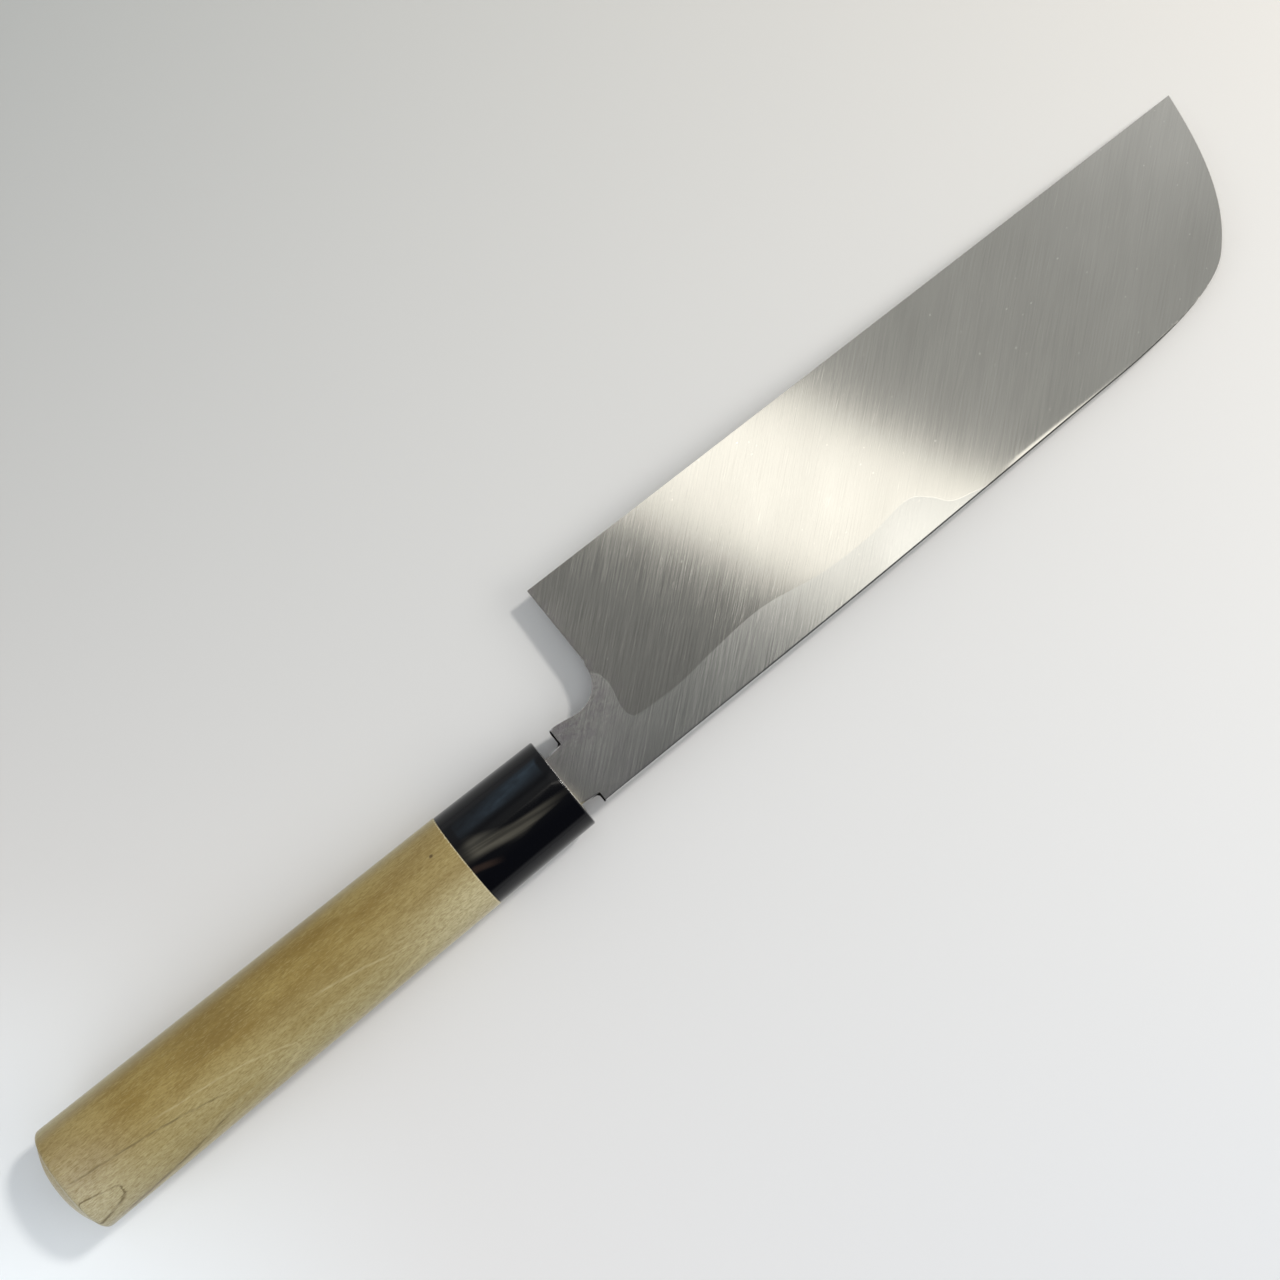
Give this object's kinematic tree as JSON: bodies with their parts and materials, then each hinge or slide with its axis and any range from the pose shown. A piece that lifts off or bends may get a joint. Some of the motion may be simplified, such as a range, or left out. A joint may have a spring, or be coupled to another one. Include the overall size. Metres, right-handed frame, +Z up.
{
  "type": "usuba knife",
  "caption": "Single-bevel vegetable knife with a tall straight blade, curved nose, neck notches, horn collar and oval wooden handle, lying flat side up.",
  "frame": {"origin": "centre of the base of the bounding box, on the table that the knife lies on", "axes": "+X from the butt towards the tip, +Y towards the cutting edge, +Z up, out of the flat side of the blade"},
  "size_m": [0.3392, 0.0506, 0.0267],
  "materials": {
    "soft_iron": "satin",
    "hard_steel": "satin",
    "pale_wood": "satin",
    "dark_horn": "gloss"
  },
  "bodies": {
    "root": {"blade_iron": "soft_iron", "blade_steel": "hard_steel", "handle_wood": "pale_wood", "horn_ferrule": "dark_horn"}
  },
  "joints": []
}
